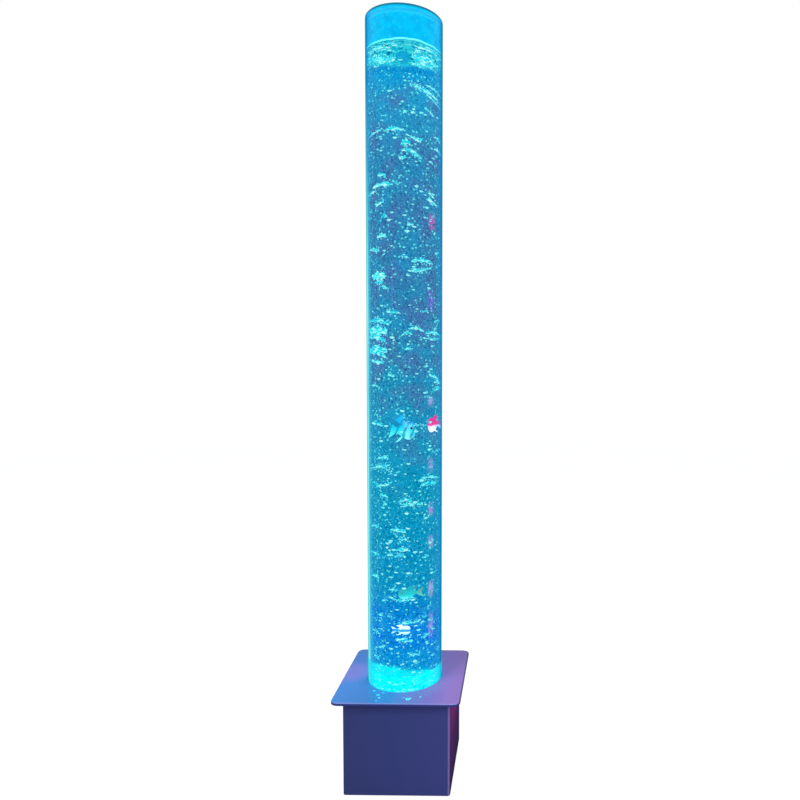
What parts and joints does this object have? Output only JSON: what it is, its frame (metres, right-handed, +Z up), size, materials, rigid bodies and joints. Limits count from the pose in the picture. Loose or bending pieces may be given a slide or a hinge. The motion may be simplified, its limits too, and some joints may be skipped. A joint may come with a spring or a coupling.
{
  "type": "bubble tube lamp",
  "caption": "Floor lamp with a tall clear water-filled acrylic tube of rising bubbles and plastic fish on a square base that holds its lamps, air pump and drain tap.",
  "frame": {"origin": "centre of the lamp's footprint on the floor, under its rubber feet", "axes": "+Z up along the tube's axis, +X to the right as seen from the front, the base's front face towards -Y"},
  "size_m": [0.248, 0.248, 1.5056],
  "materials": {
    "base_lacquer": "satin-gloss indigo lacquer over board",
    "plate_gloss": "polished blue-violet acrylic sheet",
    "clear_acrylic": "polished clear acrylic tube, lit from below",
    "plug_acrylic": "clear cast acrylic, full of light from the lamps",
    "lid_acrylic": "frosted acrylic, misted underneath",
    "board_panel": "melamine-faced board",
    "post_wood": "planed softwood",
    "rubber": "moulded rubber",
    "screw_steel": "zinc-plated steel",
    "iron_core": "stacked electrical steel",
    "magnet": "nickel-plated magnet",
    "aluminium": "cast and machined aluminium",
    "brass": "turned brass",
    "coil_copper": "enamelled copper winding",
    "circuit_green": "glass-fibre circuit board, soldered",
    "circuit_white": "white aluminium lamp board",
    "silicone_hose": "clear silicone hose",
    "grey_plastic": "moulded ABS",
    "black_plastic": "moulded nylon",
    "red_plastic": "moulded plastic lever",
    "lead_sheath": "soft PVC wire sheath",
    "fish_striped": "moulded plastic, painted stripes",
    "fish_pink": "moulded plastic, painted",
    "fish_green": "moulded plastic, painted",
    "fish_white": "moulded plastic"
  },
  "bodies": {
    "base": {"base_box": "base_lacquer", "top_plate": "plate_gloss", "bottom_cover": "board_panel", "shelf": "board_panel", "tube": "clear_acrylic", "tube_plug": "plug_acrylic", "tube_flange": "clear_acrylic", "heat_sink": "aluminium", "led_board": "circuit_white", "air_nozzle": "brass", "air_hose": "silicone_hose", "check_valve": "grey_plastic", "pump_hose": "silicone_hose", "pump_pad": "rubber", "pump_case": "grey_plastic", "pump_cover": "grey_plastic", "pump_core": "iron_core", "pump_coil": "coil_copper", "pump_chamber": "black_plastic", "drain_fitting": "brass", "drain_hose": "silicone_hose", "drain_tap": "brass", "drain_saddle": "black_plastic", "board_tray": "black_plastic", "controller_board": "circuit_green", "power_inlet": "black_plastic", "inlet_nut": "screw_steel", "switch_body": "black_plastic", "power_lead": "lead_sheath", "switch_lead": "lead_sheath", "lamp_lead": "lead_sheath", "pump_lead": "lead_sheath", "foot_front_left": "rubber", "foot_front_right": "rubber", "foot_rear_left": "rubber", "foot_rear_right": "rubber", "corner_post_front_left": "post_wood", "corner_post_front_right": "post_wood", "corner_post_rear_left": "post_wood", "corner_post_rear_right": "post_wood", "cover_screw_front_left": "screw_steel", "cover_screw_front_right": "screw_steel", "cover_screw_rear_left": "screw_steel", "cover_screw_rear_right": "screw_steel", "flange_screw_front_left": "screw_steel", "flange_screw_front_right": "screw_steel", "flange_screw_rear_left": "screw_steel", "flange_screw_rear_right": "screw_steel"},
    "lid": {"lid": "lid_acrylic", "lid_seal": "silicone_hose"},
    "tap_handle": {"drain_lever": "red_plastic", "drain_ball": "screw_steel"},
    "rocker": {"switch_rocker": "black_plastic"},
    "pump_lever": {"pump_arm": "screw_steel", "pump_magnet": "magnet", "pump_diaphragm": "rubber"},
    "striped_fish": {"fish_striped": "fish_striped"},
    "pink_fish": {"fish_pink": "fish_pink"},
    "green_fish": {"fish_green": "fish_green"},
    "white_fish": {"fish_white": "fish_white"}
  },
  "joints": [
    {"name": "lid_lift", "type": "slide", "parent": "base", "child": "lid", "axis": [0, 0, 1], "range_m": [0, 0.1]},
    {"name": "drain_lever_turn", "type": "hinge", "parent": "base", "child": "tap_handle", "pos_m": [0.034, 0.078, 0.056], "axis": [0, 1, 0], "range_deg": [0, 90]},
    {"name": "switch_rock", "type": "hinge", "parent": "base", "child": "rocker", "pos_m": [-0.05, 0.1043, 0.102], "axis": [1, 0, 0], "range_deg": [-18, 0]},
    {"name": "pump_arm_swing", "type": "hinge", "parent": "base", "child": "pump_lever", "pos_m": [0.033, -0.053, 0.0406], "axis": [0, 0, 1], "range_deg": [-1.8, 1.8], "stiffness_Nm_per_rad": 0.2},
    {"name": "striped_fish_drift", "type": "slide", "parent": "base", "child": "striped_fish", "axis": [0, 0, 1], "range_m": [-0.04, 0.65]},
    {"name": "pink_fish_drift", "type": "slide", "parent": "base", "child": "pink_fish", "axis": [0, 0, 1], "range_m": [-0.07, 0.68]},
    {"name": "green_fish_drift", "type": "slide", "parent": "base", "child": "green_fish", "axis": [0, 0, 1], "range_m": [-0.02, 0.22]},
    {"name": "white_fish_drift", "type": "slide", "parent": "base", "child": "white_fish", "axis": [0, 0, 1], "range_m": [-0.07, 0.01]}
  ]
}
